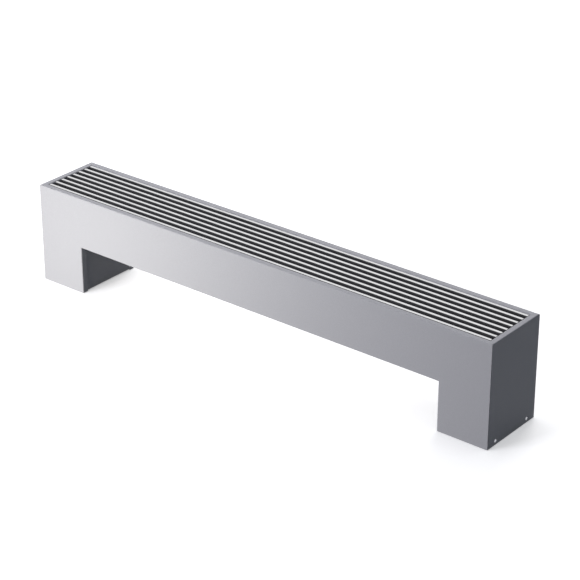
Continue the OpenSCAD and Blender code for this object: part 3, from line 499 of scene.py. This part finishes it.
def meshObject(name, parts, body, material, sharpAngle=180.0):
    # parts is a list of (points, quads), joined into one mesh at the origin. Points that meet at a
    # pole or a run-out are merged there, and the faces are turned outwards. Edges that fold by more
    # than sharpAngle, in degrees, stay crisp, and the rest is shaded smooth.
    shifts = np.cumsum([0] + [len(part[0]) for part in parts[:-1]])
    points = np.concatenate([part[0] for part in parts])
    quads = np.concatenate([part[1] + shift for part, shift in zip(parts, shifts)])
    mesh = bpy.data.meshes.new(name)
    mesh.vertices.add(len(points))
    mesh.vertices.foreach_set("co", points.astype(np.float32).ravel())
    mesh.loops.add(quads.size)
    mesh.loops.foreach_set("vertex_index", quads.astype(np.int32).ravel())
    mesh.polygons.add(len(quads))
    mesh.polygons.foreach_set("loop_start", np.arange(0, quads.size, 4, dtype=np.int32))
    mesh.update(calc_edges=True)
    closing = bmesh.new()
    closing.from_mesh(mesh)
    bmesh.ops.remove_doubles(closing, verts=closing.verts, dist=mergeReach)
    bmesh.ops.recalc_face_normals(closing, faces=closing.faces)
    closing.to_mesh(mesh)
    closing.free()
    mesh.polygons.foreach_set("use_smooth", np.ones(len(mesh.polygons), bool))
    mesh.set_sharp_from_angle(angle=math.radians(sharpAngle))
    mesh.materials.append(material)
    made = bpy.data.objects.new(name, mesh)
    bpy.context.scene.collection.objects.link(made)
    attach(made, body)
    return made


def middleOf(node):
    low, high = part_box(node)
    return (low + high) / 2


# Brazed joints: every socket of the three bends and of the two tails
brazePlan = {
    "leg": 0.0013,  # how far the solder climbs up the tube and along the socket's mouth
    "sag": 0.35,  # how hollow the fillet is
    "ripple": 0.00008, "waves": 9,
    "sink": 0.00005,  # how far it reaches into the tube's wall
    "around": 40, "across": 10,
}


def brazeRing(mouth, tubeRadius, towards, plan):
    # A fillet of solder in the corner between a tube and the mouth of its socket. Across the
    # ring the profile is a quarter arc that curves inward between two equal legs, closed by the
    # corner; round the tube its size swells and shrinks a little, as a hand-fed joint does.
    turn = np.linspace(0, 2 * math.pi, plan["around"], endpoint=False)
    share = np.linspace(0, 1, plan["across"])
    leg = plan["leg"] + plan["ripple"] * np.sin(plan["waves"] * turn)
    arc = 1 - plan["sag"] * np.sin(math.pi * share)
    outward = np.concatenate([(1 - share) * arc, [0.0]])
    along = np.concatenate([share * arc, [0.0]])
    radius = tubeRadius - plan["sink"] + leg[:, None] * outward
    x = mouth[0] + towards * leg[:, None] * along
    y = mouth[1] + radius * np.cos(turn)[:, None]
    z = mouth[2] + radius * np.sin(turn)[:, None]
    return gridFaces(np.stack([x, y, z], -1), True, True)


tubes = [middleOf(name) for name in
         ("front_lower_tube", "front_upper_tube", "rear_lower_tube", "rear_upper_tube")]
tubeLow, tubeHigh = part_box("front_lower_tube")
tubeRadius = (tubeHigh.z - tubeLow.z) / 2
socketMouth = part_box("right_bend")[0].x
joints = [brazeRing((end * socketMouth, tube.y, tube.z), tubeRadius, -end, brazePlan)
          for tube in tubes for end in (-1, 1)]
meshObject("brazed_joints", joints, "casing", solder)
print("brazed joints:", len(joints))


# Thread on the return valve's bonnet, which carries the cap
threadPlan = {
    "pitch": 0.0010, "length": 0.0066, "runOut": 0.0006,
    "neckRadius": 0.0100, "rise": 0.000085, "sink": 0.00007,  # the crest stands out, the foot is buried
    "halfWidth": 0.42,  # share of the pitch
    "fade": 0.5,  # turns over which it narrows at each end
    "perTurn": 40,
}


def threadRidge(axis, low, high, plan):
    # A ridge wound round an upright axis: its three-sided profile is carried up a helix, and it
    # narrows to nothing at both ends.
    turns = (high - low) / plan["pitch"]
    share = np.linspace(0, 1, int(turns * plan["perTurn"]) + 1)
    turn = share * turns * 2 * math.pi
    fade = np.clip(np.minimum(share, 1 - share) * turns / plan["fade"], 0, 1)
    rise = (plan["rise"] + plan["sink"]) * fade
    half = plan["pitch"] * plan["halfWidth"] * fade
    radius = plan["neckRadius"] - plan["sink"] + np.stack([0 * rise, rise, 0 * rise], -1)
    z = (low + share * (high - low))[:, None] + np.stack([-half, 0 * half, half], -1)
    x = axis.x + radius * np.cos(turn)[:, None]
    y = axis.y + radius * np.sin(turn)[:, None]
    return gridFaces(np.stack([x, y, z], -1), False, True)


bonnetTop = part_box("return_valve_bonnet")[1].z
ridge = threadRidge(middleOf("return_valve_bonnet"), bonnetTop - threadPlan["length"],
                    bonnetTop - threadPlan["runOut"], threadPlan)
meshObject("bonnet_thread", [ridge], "casing", finishes["valve_brass"])
print("thread wound on the bonnet")


# Index moulded on the handwheel, so that the hand reads how far it is turned
indexPlan = {
    "inner": 0.0045, "outer": 0.0138,  # where it begins and ends, from the wheel's axis
    "halfWidth": 0.0009, "rise": 0.0005,
    "squareness": 0.5,  # 1 is an ellipsoid, less is fuller at the corners
    "along": 17, "around": 24,
}


def mouldedIndex(centre, plan):
    # A cushion whose two half sections are rounded squares: each place on it is a cosine or a
    # sine brought to a power below one, which keeps its sign, times half the size that way.
    def full(value):
        return np.sign(value) * np.abs(value) ** plan["squareness"]

    tilts = np.linspace(-math.pi / 2, math.pi / 2, plan["along"])
    turns = np.linspace(0, 2 * math.pi, plan["around"], endpoint=False)
    tilt, turn = np.meshgrid(tilts, turns, indexing="ij")
    middle, halfLength = (plan["outer"] + plan["inner"]) / 2, (plan["outer"] - plan["inner"]) / 2
    x = centre.x + middle + halfLength * full(np.sin(tilt))
    y = centre.y + plan["halfWidth"] * full(np.cos(tilt)) * full(np.cos(turn))
    z = centre.z + plan["rise"] * full(np.cos(tilt)) * full(np.sin(turn))
    return gridFaces(np.stack([x, y, z], -1), False, True)


wheelTop = middleOf("handwheel")
wheelTop.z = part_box("handwheel")[1].z
meshObject("handwheel_index", [mouldedIndex(wheelTop, indexPlan)], "handwheel",
           finishes["white_plastic"])
print("index moulded on the handwheel")


# Button-head screws at the foot of both end panels, each turned as the key left it
screwPlan = {
    "keySides": 6, "keyFlats": 0.0020, "keyDepth": 0.00105,  # the socket, wide across its flats, and deep
    "keyTurns": (8.0, 31.0, 47.0, 19.0),  # degrees
    "shankRadius": 0.0015, "shankLength": 0.008,
    "tip": 0.0004,  # how far its end is chamfered
    "around": 48, "domeRows": 8,
    "sharpAngle": 30.0,  # degrees, past which an edge stays crisp
}


def buttonScrew(seat, towards, headRadius, headHeight, keyTurn, plan):
    # A closed turned form about an axis along X. From the middle of the tip its profile runs out to
    # the shank, along it, out to the rim, in over a dome that is part of a circle, and down into the
    # socket. There the radius is half the flats over the cosine of the angle to the nearest flat.
    turn = np.linspace(0, 2 * math.pi, plan["around"], endpoint=False)
    halfSide = math.pi / plan["keySides"]
    socket = plan["keyFlats"] / 2 / np.cos((turn + halfSide) % (2 * halfSide) - halfSide)
    domeCircle = (headRadius ** 2 + headHeight ** 2) / (2 * headHeight)
    share = np.linspace(0, 1, plan["domeRows"])[:, None]
    domeRadius = headRadius + (socket - headRadius) * share
    domeRise = np.sqrt(domeCircle ** 2 - domeRadius ** 2) - domeCircle + headHeight
    shank, foot, floor = plan["shankRadius"], -plan["shankLength"], headHeight - plan["keyDepth"]
    ring = np.ones_like(turn)
    radius = np.stack([0 * ring, (shank - plan["tip"]) * ring, shank * ring, shank * ring,
                       *domeRadius, socket, 0 * ring])
    rise = np.stack([foot * ring, foot * ring, (foot + plan["tip"]) * ring, 0 * ring,
                     *domeRise, floor * ring, floor * ring])
    x = seat[0] + towards * rise
    y = seat[1] + radius * np.cos(turn + keyTurn)
    z = seat[2] + radius * np.sin(turn + keyTurn)
    return gridFaces(np.stack([x, y, z], -1), False, True)


screwsLow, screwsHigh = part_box("casing_screws")
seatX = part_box("right_end_panel")[1].x
headRadius, headHeight = (screwsHigh.z - screwsLow.z) / 2, screwsHigh.x - seatX
screwY, screwZ = screwsHigh.y - headRadius, screwsLow.z + headRadius
screwPlaces = [(end, row) for end in (-1, 1) for row in (-1, 1)]
screws = [buttonScrew((end * seatX, row * screwY, screwZ), end, headRadius, headHeight,
                      math.radians(keyTurn), screwPlan)
          for (end, row), keyTurn in zip(screwPlaces, screwPlan["keyTurns"])]
buttonScrews = meshObject("button_screws", screws, "casing", finishes["bright_steel"],
                          screwPlan["sharpAngle"])
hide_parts("casing_screws")
print("button-head screws:", len(screws))


# Studio: floor, backdrop and lamps

studio = {
    "floorHalf": 30.0,
    "floorDrop": 0.0003,  # the floor lies this far below the feet
    "floorColour": (0.80, 0.80, 0.80),
    "floorGlow": (0.70, 1.0),  # added where it is looked at: by the casing, and far away
    "glowReach": (0.9, 2.6),  # from the middle, where the glow begins to grow and where it is full
    "contactReach": 0.12,  # nearer to a face than this, the glow fades into a painted contact shadow
    "contactOpen": (0.2, 1.0), "contactGlow": (0.52, 1.0),  # share of open space, and of the glow there
    "contactSamples": 8,
    "bounceColour": (0.088, 0.098, 0.118),  # the floor, to light that goes on to the casing
    "skyColour": (0.83, 0.97, 1.24), "skyStrength": 0.089,
    "backdropColour": (1.0, 1.0, 1.0), "backdropStrength": 1.0,
}


def seenDirectly(tree):
    # 1 for camera, mirror and glass rays, 0 for light that only brightens other surfaces
    path = addNode(tree, "ShaderNodeLightPath").outputs
    either = mathNode(tree, "MAXIMUM", path["Is Camera Ray"], path["Is Glossy Ray"])
    return mathNode(tree, "MAXIMUM", either, path["Is Transmission Ray"])


def makeFloor(plan):
    # a dim sheet to the light that bounces off it, and white by its own glow to the eye, but for the soft
    # shadow round the feet: the lamps' real shadow, and a painted contact shadow where the glow fades
    # near the casing
    material = bpy.data.materials.new("studioFloor")
    tree = emptyTree(material)
    seen = seenDirectly(tree)
    colour = mixNode(tree, "RGBA", seen, plan["bounceColour"], plan["floorColour"])
    matte = addNode(tree, "ShaderNodeBsdfDiffuse", {"Color": colour})
    coordinates = addNode(tree, "ShaderNodeTexCoord").outputs["Object"]
    far = addNode(tree, "ShaderNodeVectorMath", {0: coordinates}, operation="LENGTH").outputs["Value"]
    level = rampNode(tree, far, plan["glowReach"], plan["floorGlow"])
    # painted shadow: ambient occlusion dims the floor's glow near the casing
    near = addNode(tree, "ShaderNodeAmbientOcclusion", {"Distance": plan["contactReach"]},
                   samples=plan["contactSamples"])
    paintedContactShadow = rampNode(tree, near.outputs["AO"], plan["contactOpen"], plan["contactGlow"])
    # the painted contact shadow is for the camera alone, so that the satin paint doesn't mirror it
    path = addNode(tree, "ShaderNodeLightPath")
    mirrored = mathNode(tree, "SUBTRACT", 1.0, path.outputs["Is Camera Ray"])
    paintedContactShadow = mathNode(tree, "MAXIMUM", paintedContactShadow, mirrored)
    level = mathNode(tree, "MULTIPLY", level, paintedContactShadow)
    glow = addNode(tree, "ShaderNodeEmission", {"Strength": mathNode(tree, "MULTIPLY", seen, level)})
    both = addNode(tree, "ShaderNodeAddShader", {0: matte.outputs[0], 1: glow.outputs[0]})
    addNode(tree, "ShaderNodeOutputMaterial", {"Surface": both.outputs[0]})
    layOut(tree)
    half, z = plan["floorHalf"], cadLow.z - plan["floorDrop"]
    mesh = bpy.data.meshes.new("studioFloor")
    mesh.from_pydata([(-half, -half, z), (half, -half, z), (half, half, z), (-half, half, z)], [],
                     [(0, 1, 2, 3)])
    mesh.materials.append(material)
    floor = bpy.data.objects.new("studioFloor", mesh)
    bpy.context.scene.collection.objects.link(floor)


def makeSky(plan):
    # a faint light from all round, and a plain white backdrop to the eye and in mirrors
    world = bpy.data.worlds.new("studioSky")
    bpy.context.scene.world = world
    tree = emptyTree(world)
    seen = seenDirectly(tree)
    glow = addNode(tree, "ShaderNodeBackground", {
        "Color": mixNode(tree, "RGBA", seen, plan["skyColour"], plan["backdropColour"]),
        "Strength": mixNode(tree, "FLOAT", seen, plan["skyStrength"], plan["backdropStrength"])})
    addNode(tree, "ShaderNodeOutputWorld", {"Surface": glow.outputs[0]})
    layOut(tree)


lamps = [
    {"name": "stripLamp", "place": (-0.42, -0.669, 0.12), "aim": (-0.42, 0.0, 0.12),
     "size": (0.3, 0.2), "power": 3.13, "colour": (1.0, 0.98, 0.91), "inMirrors": True},
    {"name": "frontLamp", "place": (-1.6, -3.2, 1.5), "aim": (0.0, 0.0, 0.1),
     "size": (1.6, 1.6), "power": 90.0, "colour": (0.99, 0.98, 1.04), "inMirrors": False},
    {"name": "topLamp", "place": (-0.5, 0.9, 1.6), "aim": (0.0, 0.0, 0.19),
     "size": (2.2, 2.2), "power": 14.2, "colour": (1.0, 0.985, 1.0), "inMirrors": False},
    {"name": "rearLamp", "place": (-0.9, 3.2, 1.3), "aim": (0.0, 0.0, 0.1),
     "size": (1.6, 1.6), "power": 64.0, "colour": (1.0, 0.985, 1.0), "inMirrors": False},
]


def makeLamp(plan):
    light = bpy.data.lights.new(plan["name"], "AREA")
    light.shape = "RECTANGLE"
    light.size, light.size_y = plan["size"]
    light.energy = plan["power"]
    light.color = plan["colour"]
    lamp = bpy.data.objects.new(plan["name"], light)
    bpy.context.scene.collection.objects.link(lamp)
    lamp.location = plan["place"]
    away = np.array(plan["place"]) - np.array(plan["aim"])  # from what it lights to the lamp
    tilt = math.atan2(math.hypot(away[0], away[1]), away[2])
    lamp.rotation_euler = (tilt, 0, math.atan2(away[0], -away[1]))
    lamp.visible_camera = False
    lamp.visible_glossy = plan["inMirrors"]


makeFloor(studio)
makeSky(studio)
for plan in lamps:
    makeLamp(plan)
print("studio lit by", len(lamps), "lamps")

bpy.context.scene.view_settings.view_transform = "Standard"
